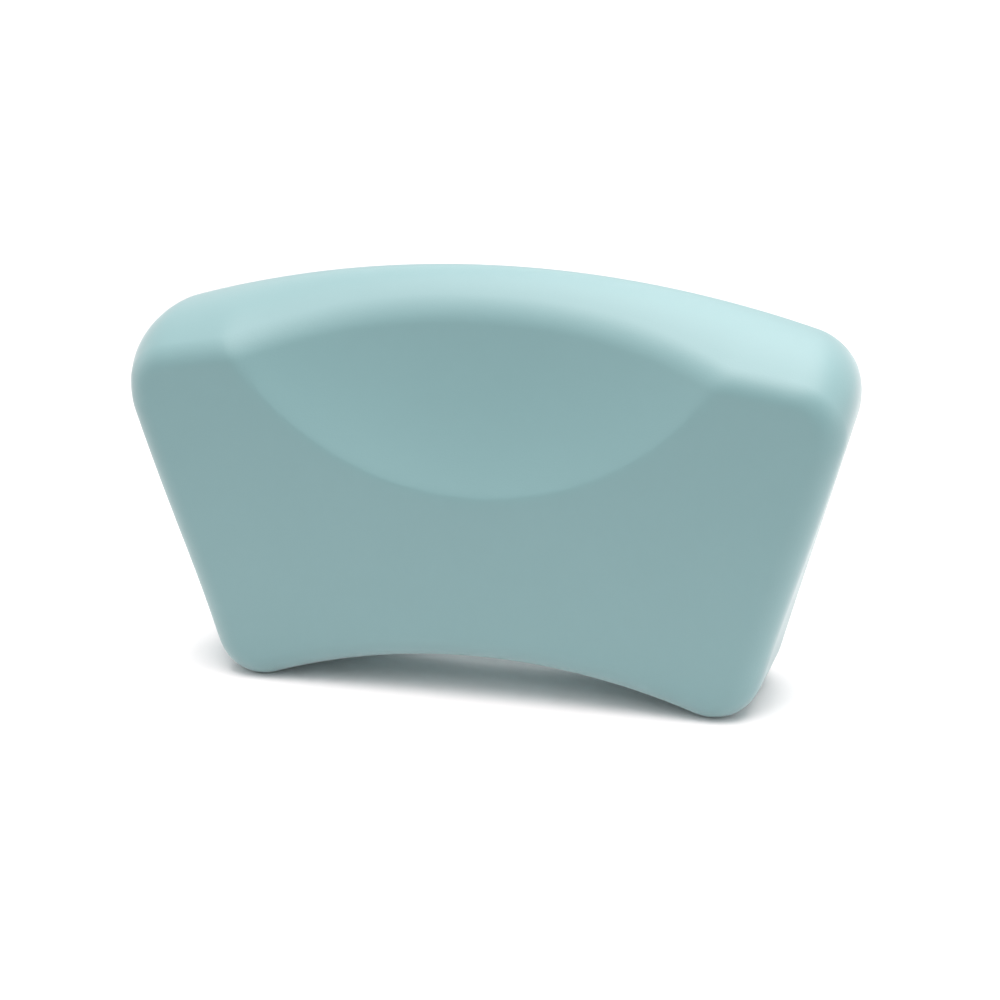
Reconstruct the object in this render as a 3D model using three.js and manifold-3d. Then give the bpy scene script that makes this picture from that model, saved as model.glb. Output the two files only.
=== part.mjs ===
// Bath pillow: a moulded foam headrest that stands on two feet or hangs on four suction cups.
// Millimetres, +Z up. The headrest faces -Y, the cups face +Y and the feet stand on z = 0.
import * as THREE from 'three';
import { mergeVertices } from 'three/addons/utils/BufferGeometryUtils.js';
import Module from 'manifold-3d';

const wasm = await Module();
wasm.setup();

// Front outline of the moulding: a fan with a crowned top, straight sides and an arch between two feet
const TOP_HALF_WIDTH = 170; // half-width where a side line would meet the top arc
const FOOT_HALF_WIDTH = 120.2; // half-width where a side line would meet the arch
const SIDE_RISE = 165.3; // height between those two meeting points
const TOP_CROWN = 31.7; // rise of the top arc over its ends
const ARCH_RISE = 25.2; // rise of the arch over its ends
const TOP_CORNER_R = 28;
const FOOT_CORNER_R = 22.5;
const FOOT_FLAT = 0.5; // how much of each round foot is pressed flat

// Depth of the moulding, with an upright back
const BASE_DEPTH = 66; // back face to front face at the floor
const FRONT_LEAN_DEG = 4.6; // the front face leans back towards the top
const CORNER_FALL = 12; // how far the top falls from the back to the front at its ends
const MIDDLE_FALL = 31; // and in its middle, if the dish weren't cut there
const FALL_START = 0.12; // share of the sides' rise from which that fall is felt
const FALL_FULL = 0.91; // and from which it is full
const TOP_EDGE_R = 12.5; // rounding of the front edge along the top
const FOOT_EDGE_R = 12; // rounding of the front edge along the arch and feet
const BACK_EDGE_R = 14;

// Neck rest: a round bowl in the upper front, with its middle over the top edge
const DISH_DEPTH = 22.6; // at its middle
const DISH_CURVE = 3; // power of its curve, from its middle to the rim
const DISH_RIM_R = 134.3;
const DISH_LOW_POINT = 94.6; // height of the rim's lowest point over the floor

// Layers of the moulding
const SKIN_T = 2.5;
const SEAM_INSET = 16; // edge of the back skin, in from the outline
const CLEARANCE = 0.3; // between pieces that touch

// Stiffener board behind the back skin, with holes that the foam grows through
const BOARD_T = 4;
const BOARD_INSET = 20; // edge of the board, in from the outline
const KEY_HOLE_R = 8;
const KEY_HOLE_PITCH = 50;
const KEY_HOLE_COUNT = 3;

// Suction cup: head, neck, boss and dome on one axis, and a tab to peel it off with
const LIP_R = 26;
const LIP_LAND = 2.4; // width of the flat ring that meets the wall
const LIP_T = 1.2;
const CUP_HEIGHT = 12; // keyhole plate to lip
const CUP_MARGIN = 26; // lip to the side and to the top arc or arch
const DOME_T = 2.5; // thickness of the dome over its boss
const DOME_FLARE = 1.4; // power of the dome's outer curve, from boss to lip
const HOLLOW_CURVE = 2; // power of the hollow's curve, from its middle to the lip
const BOSS_R = 9;
const BOSS_T = 2.7;
const NECK_R = 3.3;
const HEAD_R = 5.4;
const HEAD_T = 3;
const HEAD_CHAMFER = 0.8;
const TAB_LENGTH = 7;
const TAB_WIDTH = 10;
const TAB_T = 1.4;

// Keyhole plate and the socket behind it
const SLIDE = 12; // travel of the neck from the locked end of the keyhole to the entry hole
const PLATE_R = 22;
const PLATE_T = 1;
const FLANGE_T = 1.2;
const SOCKET_WALL = 1.5;
const SOCKET_DEPTH = 8; // room behind the plate
const SLOT_PLAY = 0.4; // neck to slot
const ENTRY_PLAY = 1; // head to entry hole
const SOCKET_PLAY = 1.6; // head to socket wall

// Pan-head screws, one on each side of the keyhole
const SCREW_EDGE = 6.5; // a screw's axis to the plate's rim
const SCREW_R = 1.5;
const SCREW_LENGTH = 6.4; // under the head
const SCREW_POINT = 2; // length of the taper
const SCREW_HEAD_R = 2.9;
const SCREW_HEAD_T = 1.8;
const SCREW_HEAD_CROWN = 0.7; // height of the sloped rim on top of the head
const DRIVE_LENGTH = 3.4; // cross recess in the head
const DRIVE_WIDTH = 0.8;
const DRIVE_DEPTH = 1.1;

// How finely round shapes are cut into flats
const ARCH_STEPS = 6;
const FOOT_STEPS = 5;
const SIDE_STEPS = 4;
const CORNER_STEPS = 4;
const TOP_STEPS = 7;
const FRONT_EDGE_STEPS = 4;
const BACK_EDGE_STEPS = 2;
const ROWS_UNDER_RIM = 3;
const ROWS_IN_DISH = 4;
const NEAR_END = 0.9; // share of a column where its row on the rim stops, at the latest
const ROUND_STEPS = 24; // round a cup
const SCREW_STEPS = 12; // round a screw
const PLATE_STEPS = 32; // round a keyhole plate
const HOLE_STEPS = 16; // round a key hole or the end of a keyhole
const SCREW_HOLE_STEPS = 10;
const DOME_STEPS = 4;
const OVERCUT = 1; // how far a cutter runs past the face that it opens

const material = (color, roughness, metalness = 0) =>
  new THREE.MeshStandardMaterial({ color, roughness, metalness });
const finishes = {
  skin: material('#9dc2c5', 0.6),
  foam: material('#e9e6d8', 0.95),
  board: material('#5d6264', 0.7),
  steel: material('#c3c6c8', 0.3, 1),
  socket: material('#3c4042', 0.6),
  cup: material('#dfe8e8', 0.25),
};

// Places in the front view: x to the right, y up
const sideRun = TOP_HALF_WIDTH - FOOT_HALF_WIDTH;
const sideUp = new THREE.Vector2(sideRun, SIDE_RISE).normalize();
const sideOut = new THREE.Vector2(sideUp.y, -sideUp.x);
const archRadius = (FOOT_HALF_WIDTH ** 2 + ARCH_RISE ** 2) / (2 * ARCH_RISE);
const topRadius = (TOP_HALF_WIDTH ** 2 + TOP_CROWN ** 2) / (2 * TOP_CROWN);
const footPoint = new THREE.Vector2(FOOT_HALF_WIDTH, 0);
const archCentre = new THREE.Vector2(0, ARCH_RISE - archRadius);
const topCentre = new THREE.Vector2(0, SIDE_RISE + TOP_CROWN - topRadius);
const floorLevel = underTheSide(FOOT_CORNER_R, archCentre, archRadius + FOOT_CORNER_R).y
  - FOOT_CORNER_R + FOOT_FLAT;
for (const point of [footPoint, archCentre, topCentre]) point.y -= floorLevel;

// Centre of a circle that touches the right side line from inside, at a distance from another centre
function underTheSide(radius, centre, distance) {
  const start = footPoint.clone().addScaledVector(sideOut, -radius);
  const offset = start.clone().sub(centre);
  const along = offset.dot(sideUp);
  const climb = -along + Math.sqrt(along ** 2 - offset.lengthSq() + distance ** 2);
  return start.addScaledVector(sideUp, climb);
}

const inFootCorner = (radius) => underTheSide(radius, archCentre, archRadius + radius);
const inTopCorner = (radius) => underTheSide(radius, topCentre, topRadius - radius);

// Points along an arc after its first one, each with the direction that faces out of the moulding
function arc(centre, radius, from, to, steps, outward = 1) {
  return Array.from({ length: steps }, (_, k) => {
    const angle = THREE.MathUtils.lerp(from, to, (k + 1) / steps);
    const ray = new THREE.Vector2(Math.cos(angle), Math.sin(angle));
    return { at: centre.clone().addScaledVector(ray, radius), out: ray.multiplyScalar(outward) };
  });
}

// The outline's right half runs from the middle of the arch round the foot to the middle of the top
function rightHalf() {
  const foot = inFootCorner(FOOT_CORNER_R);
  const corner = inTopCorner(TOP_CORNER_R);
  const archEnd = foot.clone().sub(archCentre).angle();
  const topEnd = corner.clone().sub(topCentre).angle();
  const sideAngle = Math.atan2(sideOut.y, sideOut.x);
  const sideStart = foot.clone().addScaledVector(sideOut, FOOT_CORNER_R);
  const sideEnd = corner.clone().addScaledVector(sideOut, TOP_CORNER_R);
  const side = Array.from({ length: SIDE_STEPS }, (_, k) => ({
    at: sideStart.clone().lerp(sideEnd, (k + 1) / SIDE_STEPS),
    out: sideOut.clone(),
  }));
  const middle = { at: new THREE.Vector2(0, archCentre.y + archRadius), out: new THREE.Vector2(0, -1) };
  return [
    middle,
    ...arc(archCentre, archRadius, Math.PI / 2, archEnd, ARCH_STEPS, -1),
    ...arc(foot, FOOT_CORNER_R, archEnd - Math.PI, sideAngle, FOOT_STEPS),
    ...side,
    ...arc(corner, TOP_CORNER_R, sideAngle, topEnd, CORNER_STEPS),
    ...arc(topCentre, topRadius, topEnd, Math.PI / 2, TOP_STEPS),
  ];
}

const mirrored = ({ at, out }) => ({
  at: new THREE.Vector2(-at.x, at.y),
  out: new THREE.Vector2(-out.x, out.y),
});
const half = rightHalf();
const outline = [...half, ...half.slice(1, -1).reverse().map(mirrored)];
const inset = ({ at, out }, distance) => at.clone().addScaledVector(out, -distance);

// Depth of the front face, with the dish, set a distance inside the moulding
const dishCentre = new THREE.Vector2(0, DISH_LOW_POINT + DISH_RIM_R);
const lean = Math.tan(THREE.MathUtils.degToRad(FRONT_LEAN_DEG));
function frontDepth(point, inside) {
  const reach = point.distanceTo(dishCentre) / DISH_RIM_R;
  const dish = DISH_DEPTH * Math.max(0, 1 - reach ** DISH_CURVE);
  return dish + inside - BASE_DEPTH + lean * point.y;
}

// A point that belongs to a place of the outline, let down as far as the top has fallen at its depth
function letDown(point, { at }, depth) {
  const share = (-depth / BASE_DEPTH) * THREE.MathUtils.smoothstep(at.y / SIDE_RISE, FALL_START, FALL_FULL);
  const fall = THREE.MathUtils.lerp(MIDDLE_FALL, CORNER_FALL, (point.x / TOP_HALF_WIDTH) ** 2);
  return new THREE.Vector2(point.x, point.y - share * fall);
}

// Where a line from a to b enters the dish, as a share of the line, and near b where it doesn't
function rimCrossing(a, b) {
  const run = b.clone().sub(a);
  const offset = a.clone().sub(dishCentre);
  const along = offset.dot(run) / run.lengthSq();
  const root = along ** 2 - (offset.lengthSq() - DISH_RIM_R ** 2) / run.lengthSq();
  const share = root > 0 ? -along - Math.sqrt(root) : NEAR_END;
  return THREE.MathUtils.clamp(share, 1 - NEAR_END, NEAR_END);
}

// The whole moulding as a closed surface, set a distance inside its real one
function pillowForm(inside) {
  const vertices = [];
  const faces = [];
  const vertex = (point, depth) => vertices.push(new THREE.Vector3(point.x, depth, point.y)) - 1;
  const face = (a, b, c) => {
    if (a !== b && b !== c && c !== a) faces.push(a, b, c);
  };
  const quad = (a, b, c, d) => {
    face(a, b, c);
    face(a, c, d);
  };

  // Rings of the front edge from the face to the wall, then of the back edge from the wall to the back
  const rings = [];
  for (let k = 0; k <= FRONT_EDGE_STEPS; k += 1) {
    const turn = (Math.PI / 2) * (1 - k / FRONT_EDGE_STEPS);
    rings.push(outline.map((place) => {
      const radius = THREE.MathUtils.lerp(FOOT_EDGE_R, TOP_EDGE_R, (1 + place.out.y) / 2) - inside;
      const level = inset(place, inside + radius * (1 - Math.cos(turn)));
      const behind = radius * (1 - Math.sin(turn));
      const point = letDown(level, place, frontDepth(level, inside) + behind);
      return vertex(point, frontDepth(point, inside) + behind);
    }));
  }
  for (let k = 0; k <= BACK_EDGE_STEPS; k += 1) {
    const turn = (Math.PI / 2) * (k / BACK_EDGE_STEPS);
    const radius = BACK_EDGE_R - inside;
    rings.push(outline.map((place) => {
      const depth = -inside - radius * (1 - Math.sin(turn));
      const point = letDown(inset(place, inside + radius * (1 - Math.cos(turn))), place, depth);
      return vertex(point, depth);
    }));
  }
  for (let r = 1; r < rings.length; r += 1) {
    outline.forEach((_, i) => {
      const next = (i + 1) % outline.length;
      quad(rings[r][i], rings[r][next], rings[r - 1][next], rings[r - 1][i]);
    });
  }

  // Columns across the two faces join each outline point under the middle to the one above it
  const last = half.length - 1;
  const columns = [];
  for (let c = -last / 2; c <= last / 2; c += 1) {
    const under = (c + outline.length) % outline.length;
    const over = last - c;
    columns.push({ under, over });
  }
  const flat = (index) => new THREE.Vector2(vertices[index].x, vertices[index].z);
  const frontColumns = columns.map(({ under, over }) => {
    const [start, end] = [rings[0][under], rings[0][over]];
    const rows = ROWS_UNDER_RIM + ROWS_IN_DISH;
    if (start === end) return Array(rows + 1).fill(start);
    const rim = rimCrossing(flat(start), flat(end));
    const inner = Array.from({ length: rows - 1 }, (_, k) => {
      const row = k + 1;
      const share = row <= ROWS_UNDER_RIM
        ? rim * (row / ROWS_UNDER_RIM)
        : THREE.MathUtils.lerp(rim, 1, (row - ROWS_UNDER_RIM) / ROWS_IN_DISH);
      const point = flat(start).lerp(flat(end), share);
      return vertex(point, frontDepth(point, inside));
    });
    return [start, ...inner, end];
  });
  const backRing = rings.at(-1);
  const backColumns = columns.map(({ under, over }) => [backRing[over], backRing[under]]);
  for (const grid of [frontColumns, backColumns]) {
    for (let c = 1; c < grid.length; c += 1) {
      for (let row = 1; row < grid[c].length; row += 1) {
        quad(grid[c - 1][row - 1], grid[c][row - 1], grid[c][row], grid[c - 1][row]);
      }
    }
  }
  return new THREE.BufferGeometry().setFromPoints(vertices).setIndex(faces);
}

// A closed solid for joining and cutting, and the geometry that comes back from it
function solid(source) {
  const bare = source.clone();
  bare.deleteAttribute('normal');
  bare.deleteAttribute('uv');
  const welded = mergeVertices(bare);
  const corners = welded.index.array;
  const triVerts = [];
  for (let i = 0; i < corners.length; i += 3) {
    const [a, b, c] = corners.slice(i, i + 3);
    if (a !== b && b !== c && c !== a) triVerts.push(a, b, c);
  }
  return new wasm.Manifold(new wasm.Mesh({
    numProp: 3,
    vertProperties: new Float32Array(welded.attributes.position.array),
    triVerts: new Uint32Array(triVerts),
  }));
}

function geometryOf(manifold) {
  const { vertProperties, triVerts } = manifold.getMesh();
  return new THREE.BufferGeometry()
    .setAttribute('position', new THREE.BufferAttribute(vertProperties, 3))
    .setIndex(new THREE.BufferAttribute(triVerts, 1));
}

// A flat shape of the front view made solid, with its rear face at a depth
function slab(shape, back, thickness) {
  const options = { depth: thickness, bevelEnabled: false };
  return new THREE.ExtrudeGeometry(shape, options).rotateX(Math.PI / 2).translate(0, back, 0);
}

const outlineShape = (distance) => new THREE.Shape(outline.map((place) => inset(place, distance)));
const bend = (x, z, radius, from, to, steps) => Array.from({ length: steps + 1 }, (_, k) => {
  const angle = THREE.MathUtils.lerp(from, to, k / steps);
  return new THREE.Vector2(x + radius * Math.cos(angle), z + radius * Math.sin(angle));
});
const disc = (x, z, radius, steps) =>
  new THREE.Shape(bend(x, z, radius, 0, 2 * Math.PI, steps).slice(1));
const screwHole = (x, z) => disc(x, z, SCREW_R + CLEARANCE, SCREW_HOLE_STEPS);
const stadium = (x, z, radius) => new THREE.Shape([
  ...bend(x, z + SLIDE / 2, radius, 0, Math.PI, HOLE_STEPS / 2),
  ...bend(x, z - SLIDE / 2, radius, Math.PI, 2 * Math.PI, HOLE_STEPS / 2),
]);

// The cups nest in the corners of the outline, and each plate's slot ends where its cup locks
const nest = LIP_R + CUP_MARGIN;
const [upper, lower] = [inTopCorner(nest), inFootCorner(nest)];
const stations = [
  { name: 'upper_left', side: -1, x: -upper.x, z: upper.y - SLIDE / 2 },
  { name: 'upper_right', side: 1, x: upper.x, z: upper.y - SLIDE / 2 },
  { name: 'lower_left', side: -1, x: -lower.x, z: lower.y - SLIDE / 2 },
  { name: 'lower_right', side: 1, x: lower.x, z: lower.y - SLIDE / 2 },
];
const screwOffset = PLATE_R - SCREW_EDGE;
const screwPlaces = stations.flatMap(({ x, z }) => [-1, 1].map((way) => [x + way * screwOffset, z]));
const keyHeight = (archCentre.y + archRadius + topCentre.y + topRadius) / 2;
const keyPlaces = Array.from({ length: KEY_HOLE_COUNT }, (_, k) => [
  (k - (KEY_HOLE_COUNT - 1) / 2) * KEY_HOLE_PITCH,
  keyHeight,
]);

// Depths of the stack of fittings, from the board out to the suction cups' lips
const boardBack = -SKIN_T - CLEARANCE;
const boardFront = boardBack - BOARD_T;
const flangeBack = boardBack + CLEARANCE + FLANGE_T;
const plateFront = flangeBack + CLEARANCE;
const plateBack = plateFront + PLATE_T;
const socketFront = plateFront - SOCKET_DEPTH - SOCKET_WALL;
const headBack = plateFront - CLEARANCE;
const headFront = headBack - HEAD_T;
const bossFront = plateBack + CLEARANCE;
const bossBack = bossFront + BOSS_T;
const lipBack = plateBack + CUP_HEIGHT;
const screwSeat = plateBack + CLEARANCE;
const screwTip = screwSeat - SCREW_LENGTH;
const socketBoreR = HEAD_R + SOCKET_PLAY;
const socketR = socketBoreR + SOCKET_WALL;

function skinShell() {
  const mouth = slab(outlineShape(SEAM_INSET), OVERCUT, SKIN_T + 2 * OVERCUT);
  const floor = new THREE.BoxGeometry(2 * TOP_HALF_WIDTH, BASE_DEPTH, FOOT_FLAT + OVERCUT)
    .translate(0, -BASE_DEPTH / 2, -(FOOT_FLAT + OVERCUT) / 2);
  return geometryOf(solid(pillowForm(0))
    .subtract(solid(pillowForm(SKIN_T)))
    .subtract(solid(mouth))
    .subtract(solid(floor)));
}

function backSkin() {
  const shape = outlineShape(SEAM_INSET + CLEARANCE);
  shape.holes = stations.map(({ x, z }) => disc(x, z, PLATE_R + CLEARANCE, PLATE_STEPS));
  return slab(shape, 0, SKIN_T);
}

function stiffenerBoard() {
  const shape = outlineShape(BOARD_INSET);
  shape.holes = [
    ...stations.map(({ x, z }) => stadium(x, z, socketR + CLEARANCE)),
    ...screwPlaces.map(([x, z]) => screwHole(x, z)),
    ...keyPlaces.map(([x, z]) => disc(x, z, KEY_HOLE_R, HOLE_STEPS)),
  ];
  return slab(shape, boardBack, BOARD_T);
}

function foamCore() {
  const pocketShape = outlineShape(BOARD_INSET - CLEARANCE);
  pocketShape.holes = keyPlaces.map(([x, z]) => disc(x, z, KEY_HOLE_R - CLEARANCE, HOLE_STEPS));
  let core = solid(pillowForm(SKIN_T + CLEARANCE))
    .subtract(solid(slab(pocketShape, OVERCUT, OVERCUT - boardFront + CLEARANCE)));
  for (const { x, z } of stations) {
    const socketRoom = stadium(x, z, socketR + CLEARANCE);
    core = core.subtract(solid(slab(socketRoom, 0, CLEARANCE - socketFront)));
  }
  for (const [x, z] of screwPlaces) {
    core = core.subtract(solid(slab(screwHole(x, z), 0, CLEARANCE - screwTip)));
  }
  return geometryOf(core);
}

// Keyhole with its entry hole at the bottom and its locked end at the top
function keyhole() {
  const entryR = HEAD_R + ENTRY_PLAY;
  const slotR = NECK_R + SLOT_PLAY;
  const shoulder = Math.acos(slotR / entryR);
  return new THREE.Path([
    ...bend(0, SLIDE / 2, slotR, 0, Math.PI, HOLE_STEPS / 2),
    ...bend(0, -SLIDE / 2, entryR, Math.PI - shoulder, 2 * Math.PI + shoulder, HOLE_STEPS),
  ]);
}

function keyholePlate() {
  const shape = disc(0, 0, PLATE_R, PLATE_STEPS);
  shape.holes = [keyhole(), screwHole(-screwOffset, 0), screwHole(screwOffset, 0)];
  return slab(shape, plateBack, PLATE_T);
}

function socket() {
  const flange = disc(0, 0, PLATE_R, PLATE_STEPS);
  flange.holes = [screwHole(-screwOffset, 0), screwHole(screwOffset, 0)];
  const inFlange = flangeBack - FLANGE_T / 2;
  const barrel = slab(stadium(0, 0, socketR), inFlange, inFlange - socketFront);
  const roomBack = flangeBack + OVERCUT;
  const room = slab(stadium(0, 0, socketBoreR), roomBack, roomBack - socketFront - SOCKET_WALL);
  return geometryOf(solid(slab(flange, flangeBack, FLANGE_T)).add(solid(barrel)).subtract(solid(room)));
}

// The cup's wall thins from the boss to the lip: its outer face flares, its hollow is a shallow bowl
function suctionCup(side) {
  const hollowTop = bossBack + DOME_T;
  const landR = LIP_R - LIP_LAND;
  const steps = Array.from({ length: DOME_STEPS }, (_, k) => (k + 1) / DOME_STEPS);
  const flare = steps.map((share) => new THREE.Vector2(
    THREE.MathUtils.lerp(BOSS_R, LIP_R, share),
    THREE.MathUtils.lerp(bossBack, lipBack - LIP_T, share ** DOME_FLARE),
  ));
  const bowl = steps.map((share) => new THREE.Vector2(
    landR * (1 - share),
    THREE.MathUtils.lerp(hollowTop, lipBack, (1 - share) ** HOLLOW_CURVE),
  ));
  const profile = [
    new THREE.Vector2(0, headFront),
    new THREE.Vector2(HEAD_R - HEAD_CHAMFER, headFront),
    new THREE.Vector2(HEAD_R, headFront + HEAD_CHAMFER),
    new THREE.Vector2(HEAD_R, headBack),
    new THREE.Vector2(NECK_R, headBack),
    new THREE.Vector2(NECK_R, bossFront),
    new THREE.Vector2(BOSS_R, bossFront),
    new THREE.Vector2(BOSS_R, bossBack),
    ...flare,
    new THREE.Vector2(LIP_R, lipBack),
    new THREE.Vector2(landR, lipBack),
    ...bowl,
  ];
  const tab = new THREE.BoxGeometry(LIP_LAND + TAB_LENGTH, TAB_T, TAB_WIDTH).translate(
    side * (LIP_R + (TAB_LENGTH - LIP_LAND) / 2),
    lipBack - TAB_T,
    0,
  );
  return geometryOf(solid(new THREE.LatheGeometry(profile, ROUND_STEPS)).add(solid(tab)));
}

function screw() {
  const headTop = screwSeat + SCREW_HEAD_T;
  const profile = [
    new THREE.Vector2(0, screwTip),
    new THREE.Vector2(SCREW_R, screwTip + SCREW_POINT),
    new THREE.Vector2(SCREW_R, screwSeat),
    new THREE.Vector2(SCREW_HEAD_R, screwSeat),
    new THREE.Vector2(SCREW_HEAD_R, headTop - SCREW_HEAD_CROWN),
    new THREE.Vector2(SCREW_HEAD_R - SCREW_HEAD_CROWN, headTop),
    new THREE.Vector2(0, headTop),
  ];
  let body = solid(new THREE.LatheGeometry(profile, SCREW_STEPS));
  for (const [length, width] of [[DRIVE_LENGTH, DRIVE_WIDTH], [DRIVE_WIDTH, DRIVE_LENGTH]]) {
    const recess = new THREE.BoxGeometry(length, 2 * DRIVE_DEPTH, width).translate(0, headTop, 0);
    body = body.subtract(solid(recess));
  }
  return geometryOf(body);
}

function piece(name, geometry, finish) {
  const mesh = new THREE.Mesh(geometry, finish.clone());
  mesh.name = name;
  return mesh;
}

// One fixing: the plate, the socket behind it, two screws and the cup at the locked end of its keyhole
function fixing({ name, side, x, z }) {
  const group = new THREE.Group();
  group.position.set(x, 0, z);
  const cup = piece(`${name}_suction_cup`, suctionCup(side), finishes.cup);
  cup.position.z = SLIDE / 2;
  group.add(
    piece(`${name}_keyhole_plate`, keyholePlate(), finishes.steel),
    piece(`${name}_socket`, socket(), finishes.socket),
    cup,
  );
  for (const [place, way] of [['inner', -side], ['outer', side]]) {
    const mesh = piece(`${name}_${place}_screw`, screw(), finishes.steel);
    mesh.position.x = way * screwOffset;
    group.add(mesh);
  }
  return group;
}

const pillow = new THREE.Group();
pillow.add(
  piece('skin_shell', skinShell(), finishes.skin),
  piece('back_skin', backSkin(), finishes.skin),
  piece('foam_core', foamCore(), finishes.foam),
  piece('stiffener_board', stiffenerBoard(), finishes.board),
  ...stations.map(fixing),
);

// The origin lies under the middle of the pillow and its cups
const reach = new THREE.Box3().setFromObject(pillow);
pillow.position.y = -(reach.min.y + reach.max.y) / 2;

export default pillow;
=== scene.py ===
"""Looks of a moulded bath pillow: its skin, back panel, foam, suction cups and fittings, in metres."""

import logging
import math
from collections.abc import Iterator, Sequence
from dataclasses import dataclass, replace
from enum import Enum
from typing import Any

import bmesh
import bpy
import numpy as np
from mathutils import Matrix, Vector

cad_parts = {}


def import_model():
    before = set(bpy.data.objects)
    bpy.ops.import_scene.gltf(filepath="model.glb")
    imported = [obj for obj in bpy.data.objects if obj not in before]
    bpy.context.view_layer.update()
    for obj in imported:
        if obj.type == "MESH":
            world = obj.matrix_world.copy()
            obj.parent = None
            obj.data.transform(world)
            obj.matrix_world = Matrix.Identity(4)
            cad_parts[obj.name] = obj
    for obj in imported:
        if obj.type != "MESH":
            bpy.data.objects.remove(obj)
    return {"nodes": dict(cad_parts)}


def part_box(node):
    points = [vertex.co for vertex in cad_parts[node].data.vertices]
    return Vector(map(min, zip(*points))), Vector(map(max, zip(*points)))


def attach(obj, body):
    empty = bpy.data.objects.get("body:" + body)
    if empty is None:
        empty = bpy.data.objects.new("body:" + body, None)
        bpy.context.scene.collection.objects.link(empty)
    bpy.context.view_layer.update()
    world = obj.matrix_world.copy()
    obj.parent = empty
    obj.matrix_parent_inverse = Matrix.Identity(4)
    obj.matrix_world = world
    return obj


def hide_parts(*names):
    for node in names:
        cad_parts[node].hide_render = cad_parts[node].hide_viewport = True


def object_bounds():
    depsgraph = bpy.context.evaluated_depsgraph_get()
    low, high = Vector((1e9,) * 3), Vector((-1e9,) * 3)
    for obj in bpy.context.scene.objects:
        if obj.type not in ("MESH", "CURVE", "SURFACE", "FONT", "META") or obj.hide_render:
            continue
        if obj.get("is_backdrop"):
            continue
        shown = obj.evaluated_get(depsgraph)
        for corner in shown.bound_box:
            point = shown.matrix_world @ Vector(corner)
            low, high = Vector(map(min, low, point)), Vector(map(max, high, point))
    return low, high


LOG = logging.getLogger("bath_pillow")
PILLOW_BODY = "pillow"
QUARTER_TURN = math.pi / 2
FULL_TURN = 2 * math.pi
SQUARE = np.array([[-1, -1], [1, -1], [1, 1], [-1, 1]])
MIX_FACTOR, MIX_FIRST, MIX_SECOND = 0, 6, 7  # inputs of a Mix node that blends colours
MIX_RESULT = 2  # its output

Colour = tuple[float, float, float]
Point = tuple[float, float, float]
Ring = list[bmesh.types.BMVert]
Piece = bpy.types.Object


class Slot(Enum):
    """Material slots of the record."""

    SKIN = "skin"
    FOAM = "foam"
    PLATE = "plate"
    CUP = "cup"
    SCREW = "screw"


class Corner(Enum):
    """Corners of the back that hold a suction cup."""

    UPPER_LEFT = "upper_left"
    UPPER_RIGHT = "upper_right"
    LOWER_LEFT = "lower_left"
    LOWER_RIGHT = "lower_right"

    @property
    def side(self) -> int:
        """Which way along X the corner lies."""
        return -1 if self.value.endswith("left") else 1

    @property
    def cup_body(self) -> str:
        """Body that the corner's suction cup moves with."""
        return f"{self.value}_cup"

    def node(self, piece: str) -> str:
        """Name of the corner's own copy of a piece."""
        return f"{self.value}_{piece}"


class ScrewPlace(Enum):
    """Sides of a keyhole plate that hold a screw."""

    INNER = "inner"
    OUTER = "outer"


class Cut(Enum):
    """Ways to combine closed pieces, by Blender's names."""

    JOIN = "UNION"
    REMOVE = "DIFFERENCE"


class Pattern(Enum):
    """Random patterns, by Blender's types of node."""

    PATCHES = "ShaderNodeTexNoise"
    CELLS = "ShaderNodeTexVoronoi"


@dataclass(frozen=True)
class Texture:
    """A random pattern, with the width of a patch in metres and the number of finer layers."""

    size: float
    detail: float = 2.0
    stretch: Point = (1, 1, 1)
    pattern: Pattern = Pattern.PATCHES


class Wire:
    """A shader socket that takes part in arithmetic."""

    def __init__(self, surface: "Surface", socket: bpy.types.NodeSocket) -> None:
        """Wraps an output socket of a material."""
        self.surface = surface
        self.socket = socket

    def _math(self, operation: str, other: "Wire | float") -> "Wire":
        """Adds one Math node, by Blender's name of its operation."""
        return self.surface.node("ShaderNodeMath", {"operation": operation}, {0: self, 1: other})

    def __add__(self, other: "Wire | float") -> "Wire":
        """Sum."""
        return self._math("ADD", other)

    def __mul__(self, other: "Wire | float") -> "Wire":
        """Product."""
        return self._math("MULTIPLY", other)

    __radd__ = __add__
    __rmul__ = __mul__


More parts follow.
